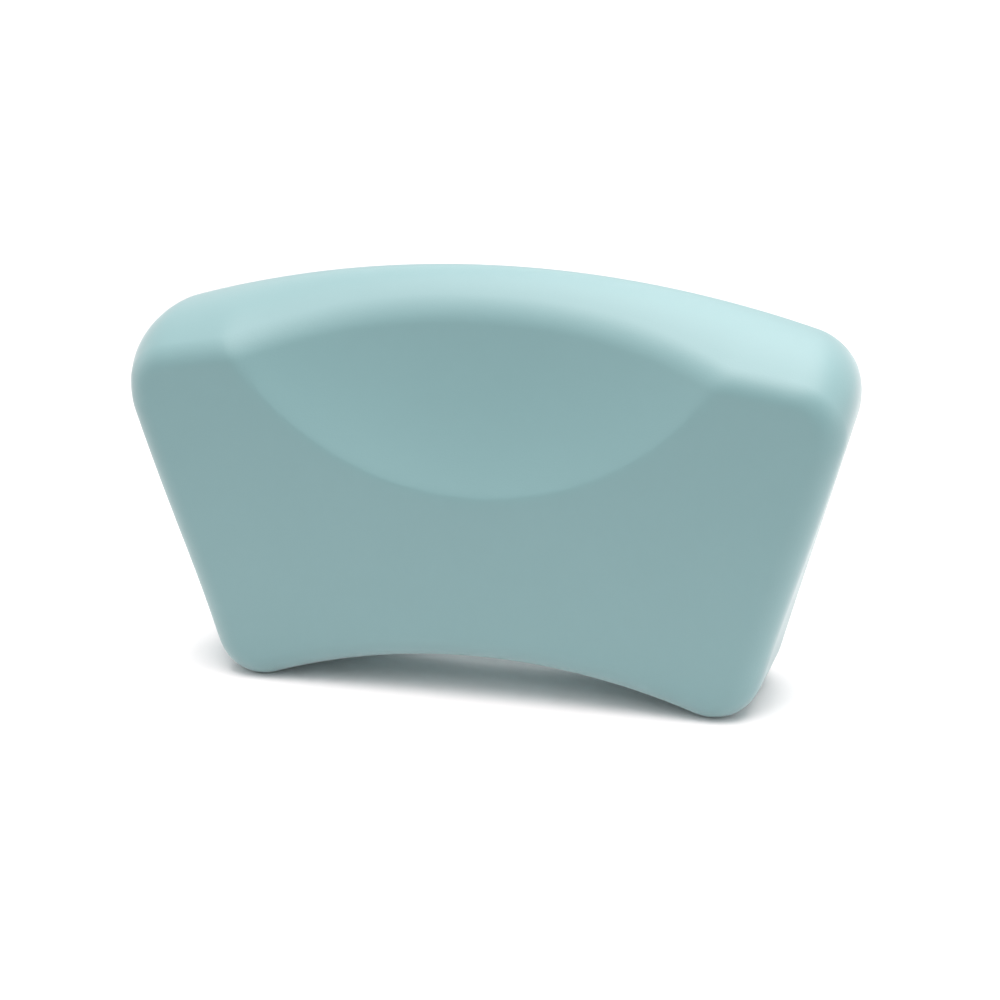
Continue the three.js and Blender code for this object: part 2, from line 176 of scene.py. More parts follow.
class Surface:
    """A node material that is written as expressions."""

    def __init__(self, name: str, constants: dict[str, Any]) -> None:
        """Makes a material with one Principled shader.

        Args:
            name: Name of the material.
            constants: Values of the shader's own sockets that are the same all over.
        """
        self.material = bpy.data.materials.new(name)
        self.material.use_nodes = True
        self.tree = self.material.node_tree
        self.tree.nodes.clear()
        self.shader = self.tree.nodes.new("ShaderNodeBsdfPrincipled")
        output = self.tree.nodes.new("ShaderNodeOutputMaterial")
        self.tree.links.new(self.shader.outputs[0], output.inputs[0])
        self.shade(constants)

    def shade(self, inputs: dict[str, Any]) -> None:
        """Feeds the shader's sockets with values or wires, by their names."""
        for name, value in inputs.items():
            self._feed(self.shader.inputs[name], value)

    def _feed(self, socket: bpy.types.NodeSocket, value: Any) -> None:
        """Sets a socket's own value, or links a wire to it.

        Args:
            socket: The input socket.
            value: A number, a colour, a vector or a wire.
        """
        if isinstance(value, Wire):
            self.tree.links.new(value.socket, socket)
        else:
            socket.default_value = (*value, 1.0) if socket.type == "RGBA" else value

    def node(
        self,
        kind: str,
        settings: dict[str, Any] | None = None,
        inputs: dict[str | int, Any] | None = None,
        output: str | int = 0,
    ) -> Wire:
        """Adds a node.

        Args:
            kind: Blender's type of node.
            settings: Properties of the node, which are set first.
            inputs: Values or wires of its sockets, by name or number.
            output: The output that is wanted.

        Returns:
            That output.
        """
        made = self.tree.nodes.new(kind)
        for name, value in (settings or {}).items():
            setattr(made, name, value)
        for key, value in (inputs or {}).items():
            self._feed(made.inputs[key], value)
        return Wire(self, made.outputs[output])

    def place(self, stretch: Point = (1, 1, 1)) -> Wire:
        """Gives the piece's own coordinates, times factors along X, Y and Z."""
        bare = self.node("ShaderNodeTexCoord", output="Object")
        return self.node("ShaderNodeVectorMath", {"operation": "MULTIPLY"}, {0: bare, 1: stretch})

    def texture(self, texture: Texture) -> Wire:
        """Gives a random pattern.

        Args:
            texture: The pattern and its measures.

        Returns:
            A value from 0 to about 1.
        """
        place = self.place(texture.stretch)
        inputs = {"Vector": place, "Scale": 1 / texture.size, "Detail": texture.detail}
        return self.node(texture.pattern.value, inputs=inputs)

    def mix(self, factor: Wire, first: Colour, second: Colour) -> Wire:
        """Blends two linear colours, from the first at factor 0 to the second at 1."""
        inputs = {MIX_FACTOR: factor, MIX_FIRST: first, MIX_SECOND: second}
        return self.node("ShaderNodeMix", {"data_type": "RGBA"}, inputs, MIX_RESULT)

    def bump(self, height: Wire, depth: float) -> Wire:
        """Turns a height from 0 to 1 into a bent normal, for a relief of a depth in metres."""
        return self.node("ShaderNodeBump", inputs={"Distance": depth, "Height": height})


@dataclass(frozen=True)
class Finish:
    """A material that changes from its first tone to its second, and gets rougher, with a fine grain."""

    first: Colour
    second: Colour
    roughness: float
    roughness_spread: float
    grain: Texture
    relief: float = 0.0
    clouds: Texture | None = None
    constants: tuple[tuple[str, float], ...] = ()

    def dress(self, name: str) -> bpy.types.Material:
        """Makes the material. Its tones follow the clouds where it has them, and else the grain.

        Args:
            name: Name of the material.

        Returns:
            The material.
        """
        surface = Surface(name, dict(self.constants))
        grain = surface.texture(self.grain)
        tones = surface.texture(self.clouds) if self.clouds else grain
        surface.shade({
            "Base Color": surface.mix(tones, self.first, self.second),
            "Roughness": self.roughness + self.roughness_spread * grain,
        })
        if self.relief:
            surface.shade({"Normal": surface.bump(grain, self.relief)})
        return surface.material


MOULDED_SKIN = Finish(
    first=(0.162, 0.303, 0.315),
    second=(0.172, 0.316, 0.328),
    roughness=0.42,
    roughness_spread=0.08,
    grain=Texture(0.0007, detail=1.0),
    relief=0.00003,
    clouds=Texture(0.07, detail=3.0),
    constants=(("Specular IOR Level", 0.6), ("Sheen Weight", 0.4), ("Sheen Roughness", 0.5)),
)
CREAM_FOAM = Finish(
    first=(0.62, 0.58, 0.47),
    second=(0.80, 0.77, 0.66),
    roughness=0.9,
    roughness_spread=0.1,
    grain=Texture(0.0012, detail=0.0, pattern=Pattern.CELLS),
    relief=0.0004,
    constants=(("Specular IOR Level", 0.2),),
)
CLEAR_VINYL = Finish(
    first=(0.86, 0.92, 0.92),
    second=(0.78, 0.87, 0.88),
    roughness=0.16,
    roughness_spread=0.12,
    grain=Texture(0.012),
    constants=(("IOR", 1.5), ("Transmission Weight", 0.62)),
)
BRUSHED_STEEL = Finish(
    first=(0.50, 0.52, 0.53),
    second=(0.62, 0.64, 0.65),
    roughness=0.24,
    roughness_spread=0.16,
    grain=Texture(0.0004, stretch=(0.02, 1, 1)),
    relief=0.000015,
    constants=(("Metallic", 1.0),),
)
BRIGHT_STEEL = replace(BRUSHED_STEEL, second=(0.72, 0.73, 0.74), roughness=0.14, grain=Texture(0.0004))
GREY_PLASTIC = Finish(
    first=(0.10, 0.11, 0.115),
    second=(0.13, 0.14, 0.145),
    roughness=0.48,
    roughness_spread=0.15,
    grain=Texture(0.0005),
    relief=0.00003,
)
BLACK_PLASTIC = replace(GREY_PLASTIC, first=(0.05, 0.053, 0.056), second=(0.075, 0.08, 0.083))


def add_object(name: str, data: bpy.types.ID) -> bpy.types.Object:
    """Puts a new mesh, light or camera into the scene.

    Args:
        name: Name of the object.
        data: The mesh, light or camera.

    Returns:
        The object.
    """
    made = bpy.data.objects.new(name, data)
    bpy.context.scene.collection.objects.link(made)
    return made


def smooth(mesh: bpy.types.Mesh, crease: float) -> None:
    """Shades a mesh smooth, with edges past an angle in radians left sharp."""
    mesh.shade_smooth()
    mesh.set_sharp_from_angle(angle=crease)


class Draft:
    """A mesh in the making."""

    def __init__(self) -> None:
        """Starts an empty mesh."""
        self.mesh = bmesh.new()

    def ring(self, points: np.ndarray) -> Ring:
        """Adds points, from one row of X, Y and Z for each."""
        return [self.mesh.verts.new(point) for point in points]

    def ring_at(self, flat: np.ndarray, depth: float) -> Ring:
        """Adds points of the front view at one Y."""
        return self.ring(np.insert(flat, 1, depth, axis=1))

    def face(self, *corners: bmesh.types.BMVert) -> None:
        """Adds a face, and leaves out corners that fall together.

        Args:
            corners: The face's vertices in order.
        """
        apart = list(dict.fromkeys(corners))
        if len(apart) > 2:
            self.mesh.faces.new(apart)

    def bridge(self, rings: Sequence[Ring]) -> None:
        """Joins closed rings of as many points, each to the next.

        Args:
            rings: The rings in order.
        """
        for ring, after in zip(rings, rings[1:]):
            for i, vertex in enumerate(ring):
                self.face(ring[i - 1], vertex, after[i], after[i - 1])

    def grid(self, columns: Sequence[Ring]) -> None:
        """Joins open columns of as many points, each to the next.

        Args:
            columns: The columns in order.
        """
        for column, after in zip(columns, columns[1:]):
            for row in range(1, len(column)):
                self.face(column[row - 1], after[row - 1], after[row], column[row])

    def fan(self, ring: Ring, tip: Sequence[float]) -> None:
        """Closes a ring with triangles to one point.

        Args:
            ring: The ring.
            tip: The point.
        """
        vertex = self.mesh.verts.new(tip)
        for i, corner in enumerate(ring):
            self.face(ring[i - 1], corner, vertex)

    def cap(self, rings: Sequence[Ring]) -> None:
        """Fills a flat outline, with its holes left open.

        Args:
            rings: The outline and its holes.
        """
        edges = [
            self.mesh.edges.get((ring[i - 1], vertex)) or self.mesh.edges.new((ring[i - 1], vertex))
            for ring in rings
            for i, vertex in enumerate(ring)
        ]
        bmesh.ops.triangle_fill(self.mesh, edges=edges, use_beauty=True)

    def piece(self, name: str, crease: float = math.pi) -> Piece:
        """Ends the draft.

        Args:
            name: Name of the piece.
            crease: Angle in radians past which an edge stays sharp.

        Returns:
            The piece, linked to the scene.
        """
        bmesh.ops.recalc_face_normals(self.mesh, faces=self.mesh.faces)
        data = bpy.data.meshes.new(name)
        self.mesh.to_mesh(data)
        self.mesh.free()
        smooth(data, crease)
        return add_object(name, data)


def carve(piece: Piece, tools: Sequence[Piece], cut: Cut, crease: float) -> None:
    """Cuts or joins closed pieces, and deletes the tools.

    Args:
        piece: The piece that is kept.
        tools: The pieces that cut it or join it.
        cut: How they are combined.
        crease: Angle in radians past which an edge stays sharp.
    """
    for tool in tools:
        modifier = piece.modifiers.new(tool.name, "BOOLEAN")
        modifier.operation = cut.value
        modifier.object = tool
        modifier.solver = "EXACT"
    bpy.context.view_layer.update()
    whole = bpy.data.meshes.new_from_object(piece.evaluated_get(bpy.context.evaluated_depsgraph_get()))
    piece.modifiers.clear()
    piece.data = whole
    smooth(whole, crease)
    for tool in tools:
        bpy.data.objects.remove(tool)


@dataclass(frozen=True)
class Axis:
    """A line along Y, which circles of the front view and turned pieces stand on."""

    x: float
    z: float

    def raised(self, rise: float) -> "Axis":
        """Gives the line moved up."""
        return Axis(self.x, self.z + rise)

    def bend(self, radius: float, start: float, end: float, steps: int) -> np.ndarray:
        """Gives rows of X and Z along an arc between two angles, its ends among them."""
        angles = np.linspace(start, end, steps + 1)
        return np.column_stack([self.x + radius * np.cos(angles), self.z + radius * np.sin(angles)])

    def circle(self, radius: float, steps: int) -> np.ndarray:
        """Gives points round a circle, as one row of X and Z for each."""
        return self.bend(radius, 0, FULL_TURN, steps)[1:]

    def stadium(self, radius: float, rise: float, steps: int) -> np.ndarray:
        """Gives points round an upright slot with round ends.

        Args:
            radius: Radius of its ends.
            rise: How far their centres lie above and below the line.
            steps: Flats round each end.

        Returns:
            One row of X and Z for each point.
        """
        upper = self.raised(rise).bend(radius, 0, math.pi, steps)
        lower = self.raised(-rise).bend(radius, math.pi, FULL_TURN, steps)
        return np.vstack([upper, lower])

    def turn(self, profile: np.ndarray, steps: int) -> Draft:
        """Turns a profile round the line.

        Args:
            profile: Radius and Y of each point, from the line back to the line.
            steps: Flats round a turn.

        Returns:
            The closed piece.
        """
        draft = Draft()
        rings = [draft.ring_at(self.circle(radius, steps), depth) for radius, depth in profile[1:-1]]
        draft.bridge(rings)
        for ring, (_, depth) in ((rings[0], profile[0]), (rings[-1], profile[-1])):
            draft.fan(ring, (self.x, depth, self.z))
        return draft


def outward(loop: np.ndarray) -> np.ndarray:
    """Gives the direction to the right of a closed loop's way, at each point.

    Args:
        loop: Points in order.

    Returns:
        One row of length 1 for each point, which faces out of an anticlockwise loop.
    """
    run = np.roll(loop, -1, axis=0) - np.roll(loop, 1, axis=0)
    turned = np.column_stack([run[:, 1], -run[:, 0]])
    return turned / np.linalg.norm(turned, axis=1, keepdims=True)


def rounded_plate(
    loops: Sequence[np.ndarray], front: float, back: float, edge: float, steps: int
) -> Draft:
    """Makes a plate with rounded edges.

    Args:
        loops: The anticlockwise outline, then the clockwise holes.
        front: Y of the front face.
        back: Y of the back face.
        edge: Radius of the edges.
        steps: Flats round an edge.

    Returns:
        The plate.
    """
    draft = Draft()
    turns = np.linspace(0, QUARTER_TURN, steps + 1)
    profile = [(edge * (1 - math.sin(t)), front + edge * (1 - math.cos(t))) for t in turns]
    profile += [(edge * (1 - math.cos(t)), back - edge * (1 - math.sin(t))) for t in turns]
    stacks = []
    for loop in loops:
        out = outward(loop)
        rings = [draft.ring_at(loop - inset * out, depth) for inset, depth in profile]
        draft.bridge(rings)
        stacks.append(rings)
    draft.cap([rings[0] for rings in stacks])
    draft.cap([rings[-1] for rings in stacks])
    return draft


def soften(corners: Sequence[tuple[float, float, float]], steps: int) -> np.ndarray:
    """Rounds the corners of an open profile.

    Args:
        corners: Radius, Y and rounding of each corner.
        steps: Flats round a corner.

    Returns:
        The rounded profile, as radius and Y of each point.
    """
    points = [np.array(corner[:2]) for corner in corners]
    rounded = [points[0]]
    for before, at, after, (_, _, rounding) in zip(points, points[1:], points[2:], corners[1:]):
        if rounding == 0:
            rounded.append(at)
            continue
        inward = rounding * (before - at) / np.linalg.norm(before - at)
        onward = rounding * (after - at) / np.linalg.norm(after - at)
        for share in np.linspace(0, 1, steps + 1):
            rounded.append(at + inward * (1 - share) ** 2 + onward * share**2)
    rounded.append(points[-1])
    return np.array(rounded)


def smooth_step(share: np.ndarray) -> np.ndarray:
    """Eases a share from 0 to 1 in and out."""
    held = np.clip(share, 0, 1)
    return held**2 * (3 - 2 * held)


def axis_of(node: str) -> Axis:
    """Gives the line through the middle of a CAD node's box."""
    middle = sum(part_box(node), Vector()) / 2
    return Axis(middle.x, middle.z)


def tie(piece: Piece, finish: Finish, body: str, slot: Slot, node: str) -> Piece:
    """Dresses a piece and ties it to the frame.

    Args:
        piece: The piece.
        finish: Its finish.
        body: The body that it moves with.
        slot: Its material slot, which is not used.
        node: The CAD node that it stands for.

    Returns:
        The piece.
    """
    piece.data.materials.append(finish.dress(piece.name))
    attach(piece, body)
    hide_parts(node)
    return piece


@dataclass(frozen=True)
class Fineness:
    """How finely a form of the moulding is cut."""

    front_edge: int
    wall: int
    back_edge: int
    under_rim: int
    in_dish: int


@dataclass
class Moulding:
    """The pillow's outer form: a fan with a crowned top, an arch between two feet and a neck dish."""

    back: float
    top_half_width: float = 0.170
    foot_half_width: float = 0.1202
    side_rise: float = 0.1653
    top_crown: float = 0.0317
    arch_rise: float = 0.0252
    top_corner_r: float = 0.028
    foot_corner_r: float = 0.0225
    foot_flat: float = 0.0005  # what the floor takes off the round feet
    base_depth: float = 0.066
    front_lean_deg: float = 4.6
    corner_fall: float = 0.012  # how far the top falls towards the front at its ends
    middle_fall: float = 0.031
    fall_start: float = 0.12  # shares of side_rise where the fall starts and is full
    fall_full: float = 0.91
    top_edge_r: float = 0.0088
    side_edge_r: float = 0.0135
    foot_edge_r: float = 0.012
    back_edge_r: float = 0.014
    dish_depth: float = 0.0226
    dish_curve: float = 3.0  # power of its section, where 2 is a parabola
    dish_rim_r: float = 0.1343
    dish_low_point: float = 0.0946
    rim_softness: float = 0.0007
    bulge_deg: float = 20.0  # tilt of the wall where it leaves its edges along the top
    bulge_starts: float = -0.3  # Z of the outward direction where the bulge starts and is full
    bulge_full: float = 0.5
    settling: int = 5  # rounds of letting the front edge down
    near_end: float = 0.9  # largest share of a column of the front that lies under the rim
    crowding: float = 1.4  # power that crowds the front's rows at the rim
    arch_steps: int = 36
    foot_steps: int = 22
    side_steps: int = 40
    corner_steps: int = 22
    top_steps: int = 60

    def __post_init__(self) -> None:
        """Draws the outline."""
        run = np.array([self.top_half_width - self.foot_half_width, self.side_rise])
        self.side_up = run / np.linalg.norm(run)
        self.side_out = np.array([self.side_up[1], -self.side_up[0]])
        self.arch_r = (self.foot_half_width**2 + self.arch_rise**2) / (2 * self.arch_rise)
        self.top_r = (self.top_half_width**2 + self.top_crown**2) / (2 * self.top_crown)
        self.foot_point = np.array([self.foot_half_width, 0.0])
        self.arch_centre = np.array([0.0, self.arch_rise - self.arch_r])
        self.top_centre = np.array([0.0, self.side_rise + self.top_crown - self.top_r])
        foot = self._beside_side(self.foot_corner_r, self.arch_centre, self.arch_r + self.foot_corner_r)
        floor = np.array([0.0, foot[1] - self.foot_corner_r + self.foot_flat])
        self.foot_point = self.foot_point - floor
        self.arch_centre = self.arch_centre - floor
        self.top_centre = self.top_centre - floor
        self.dish_centre = np.array([0.0, self.dish_low_point + self.dish_rim_r])
        self._draw()

    def _beside_side(self, radius: float, centre: np.ndarray, distance: float) -> np.ndarray:
        """Finds a circle that touches the right side line from inside.

        Args:
            radius: The circle's radius.
            centre: Another centre.
            distance: How far the circle's centre lies from that one.

        Returns:
            The circle's centre.
        """
        start = self.foot_point - radius * self.side_out
        offset = start - centre
        along = offset @ self.side_up
        climb = -along + math.sqrt(along**2 - offset @ offset + distance**2)
        return start + climb * self.side_up

    def _draw(self) -> None:
        """Sets the outline's points and the directions that face out, from the arch to the right."""
        foot = self._beside_side(self.foot_corner_r, self.arch_centre, self.arch_r + self.foot_corner_r)
        corner = self._beside_side(self.top_corner_r, self.top_centre, self.top_r - self.top_corner_r)
        arch_end = math.atan2(*(foot - self.arch_centre)[::-1])
        top_end = math.atan2(*(corner - self.top_centre)[::-1])
        side_angle = math.atan2(*self.side_out[::-1])
        points = [np.array([[0.0, self.arch_centre[1] + self.arch_r]])]
        outs = [np.array([[0.0, -1.0]])]

        def arc(
            centre: np.ndarray, radius: float, start: float, end: float, steps: int, way: int
        ) -> None:
            """Adds an arc after its first point.

            Args:
                centre: Centre of the arc.
                radius: Its radius.
                start: Angle of its first point.
                end: Angle of its last point.
                steps: How many flats it has.
                way: 1 where it bulges out of the moulding, -1 where it bulges in.
            """
            rays = Axis(0, 0).bend(1, start, end, steps)[1:]
            points.append(centre + radius * rays)
            outs.append(way * rays)

        arc(self.arch_centre, self.arch_r, QUARTER_TURN, arch_end, self.arch_steps, -1)
        arc(foot, self.foot_corner_r, arch_end - math.pi, side_angle, self.foot_steps, 1)
        shares = np.linspace(0, 1, self.side_steps + 1)[1:, None]
        side_start = foot + self.foot_corner_r * self.side_out
        side_end = corner + self.top_corner_r * self.side_out
        points.append(side_start + shares * (side_end - side_start))
        outs.append(np.tile(self.side_out, (self.side_steps, 1)))
        arc(corner, self.top_corner_r, side_angle, top_end, self.corner_steps, 1)
        arc(self.top_centre, self.top_r, top_end, QUARTER_TURN, self.top_steps, 1)
        half, half_outs = np.vstack(points), np.vstack(outs)
        mirror = np.array([-1.0, 1.0])
        self.last = len(half) - 1
        self.points = np.vstack([half, half[-2:0:-1] * mirror])
        self.outs = np.vstack([half_outs, half_outs[-2:0:-1] * mirror])

    def inset(self, distance: float | np.ndarray) -> np.ndarray:
        """Gives the outline moved inward, by one distance or by one for each point."""
        return self.points - np.reshape(distance, (-1, 1)) * self.outs

    def front_depth(self, flat: np.ndarray, inside: float) -> np.ndarray:
        """Gives the depth of the front face and its dish.

        Args:
            flat: Points of the front view.
            inside: How far inside the real surface the form lies.

        Returns:
            Y of each point over the back face.
        """
        reach = np.linalg.norm(flat - self.dish_centre, axis=-1) / self.dish_rim_r
        bowl = self.dish_depth * (1 - reach**self.dish_curve)
        dish = (bowl + np.hypot(bowl, self.rim_softness)) / 2
        lean = math.tan(math.radians(self.front_lean_deg)) * flat[..., 1]
        return dish + inside - self.base_depth + lean

    def let_down(self, flat: np.ndarray, depth: float | np.ndarray) -> np.ndarray:
        """Lowers the top as far as it has fallen at a depth.

        Args:
            flat: One row of X and Z for each point of the outline.
            depth: Y over the back face, for all the points or for each.

        Returns:
            The rows with the top's points lowered.
        """
        height = self.points[:, 1] / self.side_rise
        felt = smooth_step((height - self.fall_start) / (self.fall_full - self.fall_start))
        ends = (flat[:, 0] / self.top_half_width) ** 2
        fall = self.middle_fall + ends * (self.corner_fall - self.middle_fall)
        return flat - np.outer(-depth / self.base_depth * felt * fall, (0, 1))

    def place(self, flat: np.ndarray, depth: float | np.ndarray) -> np.ndarray:
        """Puts rows of X and Z into space, at Y over the back face and none under the floor."""
        y = np.broadcast_to(self.back + depth, len(flat))
        return np.column_stack([flat[:, 0], y, np.maximum(flat[:, 1], 0)])

    def _rim_share(self, start: np.ndarray, end: np.ndarray) -> float:
        """Finds where a column of the front face enters the dish.

        Args:
            start: Lower end of the column.
            end: Upper end of the column.

        Returns:
            Share of the column, near its end where it passes beside the dish.
        """
        run, offset = end - start, start - self.dish_centre
        along = offset @ run / (run @ run)
        root = along**2 - (offset @ offset - self.dish_rim_r**2) / (run @ run)
        share = -along - math.sqrt(root) if root > 0 else self.near_end
        return min(max(share, 1 - self.near_end), self.near_end)

    def _front_radius(self) -> np.ndarray:
        """Blends the radius of the front edge between top, sides and feet.

        Returns:
            The radius at each point of the outline.
        """
        rise, lean = self.outs[:, 1], self.side_up[0]
        up = smooth_step(rise) * (self.top_edge_r - self.side_edge_r)
        down = smooth_step((-rise - lean) / (1 - lean)) * (self.foot_edge_r - self.side_edge_r)
        return self.side_edge_r + up + down

    def _bulge(self) -> np.ndarray:
        """Gives the angle at which the wall leaves its rounded edges, 0 along the feet."""
        span = self.bulge_full - self.bulge_starts
        return math.radians(self.bulge_deg) * smooth_step((self.outs[:, 1] - self.bulge_starts) / span)

    def _settle(
        self, level: np.ndarray, inside: float, behind: np.ndarray
    ) -> tuple[np.ndarray, np.ndarray]:
        """Lets points of the front edge down until their fall suits their depth.

        Args:
            level: One row of X and Z for each point, before it is let down.
            inside: How far inside the real surface the form lies.
            behind: How far each point lies behind the front face.

        Returns:
            The rows, and Y of each over the back face.
        """
        flat = level
        for _ in range(self.settling):
            flat = self.let_down(level, self.front_depth(flat, inside) + behind)
        return flat, self.front_depth(flat, inside) + behind

    def add_form(self, draft: Draft, inside: float, fineness: Fineness) -> Ring:
        """Adds the front, the wall and the two rounded edges to a mesh.

        Args:
            draft: The mesh.
            inside: How far inside the real surface the form lies.
            fineness: How finely it is cut.

        Returns:
            The last ring, where the back edge meets the flat back.
        """
        front_r = self._front_radius() - inside
        back_r = self.back_edge_r - inside
        tilt = self._bulge()
        laid = []
        for share in np.linspace(0, 1, fineness.front_edge + 1):
            turn = QUARTER_TURN + share * (tilt - QUARTER_TURN)
            level = self.inset(inside + front_r * (np.cos(tilt) - np.cos(turn)))
            laid.append(self._settle(level, inside, front_r * (1 - np.sin(turn))))
        edge_depth = laid[-1][1]
        wall_end = -inside - back_r * (1 - np.sin(tilt))
        bulge = (wall_end - edge_depth) * np.tan(tilt)
        for share in np.linspace(0, 1, fineness.wall + 1)[1:-1]:
            depth = edge_depth + share * (wall_end - edge_depth)
            level = self.inset(inside - bulge * share * (1 - share))
            laid.append((self.let_down(level, depth), depth))
        for share in np.linspace(0, 1, fineness.back_edge + 1):
            turn = tilt + share * (QUARTER_TURN - tilt)
            depth = -inside - back_r * (1 - np.sin(turn))
            level = self.inset(inside + back_r * (np.cos(tilt) - np.cos(turn)))
            laid.append((self.let_down(level, depth), depth))
        rings = [draft.ring(self.place(flat, depth)) for flat, depth in laid]
        draft.bridge(rings)
        self._add_front(draft, rings[0], laid[0][0], inside, fineness)
        return rings[-1]

    def _add_front(
        self,
        draft: Draft,
        ring: Ring,
        flat: np.ndarray,
        inside: float,
        fineness: Fineness,
    ) -> None:
        """Fills the front face with columns from the arch and feet up to the top.

        Args:
            draft: The mesh.
            ring: The front face's own edge.
            flat: That edge in the front view.
            inside: How far inside the real surface the form lies.
            fineness: How finely it is cut.
        """
        low = 1 - (1 - np.linspace(0, 1, fineness.under_rim + 1)[1:]) ** self.crowding
        high = np.linspace(0, 1, fineness.in_dish + 1)[1:-1] ** self.crowding
        columns = []
        # c runs along the lower half of the outline, from the left side to the right one
        for c in range(-self.last // 2, self.last // 2 + 1):
            start, end = ring[c], ring[self.last - c]
            if start is end:
                columns.append([start] * (fineness.under_rim + fineness.in_dish + 1))
                continue
            lower, upper = flat[c], flat[self.last - c]
            rim = self._rim_share(lower, upper)
            shares = np.concatenate([rim * low, rim + (1 - rim) * high])[:, None]
            inner = lower + shares * (upper - lower)
            filled = draft.ring(self.place(inner, self.front_depth(inner, inside)))
            columns.append([start, *filled, end])
        draft.grid(columns)


@dataclass
class Cushion:
    """The soft body: a skin with a mouth at the back, a back panel in the mouth and a foam core."""

    moulding: Moulding
    skin_finish: Finish = MOULDED_SKIN
    foam_finish: Finish = CREAM_FOAM
    skin_t: float = 0.0025
    seam_inset: float = 0.016  # from the outline to the parting line
    seam_edge_r: float = 0.0008
    clearance: float = 0.0003
    board_inset: float = 0.020
    key_hole_r: float = 0.008  # holes of the board that the foam fills
    key_hole_pitch: float = 0.050
    key_hole_count: int = 3
    plate_hole_r: float = 0.0223
    socket_r: float = 0.0085
    socket_rise: float = 0.006
    edge_steps: int = 4
    hole_steps: int = 96
    post_steps: int = 32
    socket_steps: int = 16
    crease: float = math.radians(50)
    fill: float = 0.95
    outer_fineness: Fineness = Fineness(front_edge=16, wall=10, back_edge=10, under_rim=34, in_dish=40)
    inner_fineness: Fineness = Fineness(front_edge=6, wall=2, back_edge=4, under_rim=8, in_dish=10)

    def build_skin(self) -> Piece:
        """Makes the outer skin, with its thickness and the rounded edge of its mouth.

        Returns:
            The skin.
        """
        draft, form = Draft(), self.moulding
        outer = form.add_form(draft, 0.0, self.outer_fineness)
        inner = form.add_form(draft, self.skin_t, self.inner_fineness)
        rings = [outer]
        for turn in np.linspace(0, QUARTER_TURN, self.edge_steps + 1):
            flat = form.inset(self.seam_inset - self.seam_edge_r * (1 - math.sin(turn)))
            rings.append(draft.ring(form.place(flat, -self.seam_edge_r * (1 - math.cos(turn)))))
        rings.append(draft.ring(form.place(form.inset(self.seam_inset), -self.skin_t)))
        draft.bridge([*rings, inner])
        return self._pad(draft.piece("skin", self.crease), self.skin_finish, Slot.SKIN, "skin_shell")

    def build_back(self) -> Piece:
        """Makes the back panel, with a round hole for each keyhole plate.

        Returns:
            The panel.
        """
        outline = self.moulding.inset(self.seam_inset + self.clearance)
        axes = [axis_of(corner.node("keyhole_plate")) for corner in Corner]
        holes = [axis.circle(self.plate_hole_r, self.hole_steps)[::-1] for axis in axes]
        back = self.moulding.back
        faces = back - self.skin_t, back
        draft = rounded_plate([outline, *holes], *faces, self.seam_edge_r, self.edge_steps)
        panel = draft.piece("back_panel", self.crease)
        return self._pad(panel, self.skin_finish, Slot.SKIN, "back_skin")

    def build_core(self) -> Piece:
        """Makes the foam core, with its pockets for the board and the sockets.

        Returns:
            The core.
        """
        draft, form = Draft(), self.moulding
        inside = self.skin_t + self.clearance
        mouth = form.add_form(draft, inside, self.inner_fineness)
        back = form.back - inside
        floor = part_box("stiffener_board")[0].y - self.clearance
        outline = form.inset(self.board_inset - self.clearance)
        wall = [draft.ring_at(outline, depth) for depth in (back, floor)]
        draft.bridge([mouth, *wall])
        edges = [wall[-1]]
        for loop, end in self._posts_and_pockets(back):
            rings = [draft.ring_at(loop, depth) for depth in (floor, end)]
            draft.bridge(rings)
            draft.cap([rings[-1]])
            edges.append(rings[0])
        draft.cap(edges)
        return self._pad(draft.piece("foam", self.crease), self.foam_finish, Slot.FOAM, "foam_core")

    def _posts_and_pockets(self, back: float) -> Iterator[tuple[np.ndarray, float]]:
        """Gives the foam posts in the board's key holes, then the pockets for the sockets.

        Args:
            back: Y of the core's back face, where the posts end.

        Yields:
            The outline, as one row of X and Z for each point, and Y of its end.
        """
        height = axis_of("stiffener_board").z
        for k in range(self.key_hole_count):
            x = (k - (self.key_hole_count - 1) / 2) * self.key_hole_pitch
            yield Axis(x, height).circle(self.key_hole_r - self.clearance, self.post_steps), back
        radius = self.socket_r + self.clearance
        for corner in Corner:
            axis = axis_of(corner.node("keyhole_plate"))
            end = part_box(corner.node("socket"))[0].y - self.clearance
            yield axis.stadium(radius, self.socket_rise, self.socket_steps), end

    def _pad(self, piece: Piece, finish: Finish, slot: Slot, node: str) -> Piece:
        """Ties a soft piece to the frame in place of a CAD node."""
        tie(piece, finish, PILLOW_BODY, slot, node)
        return piece


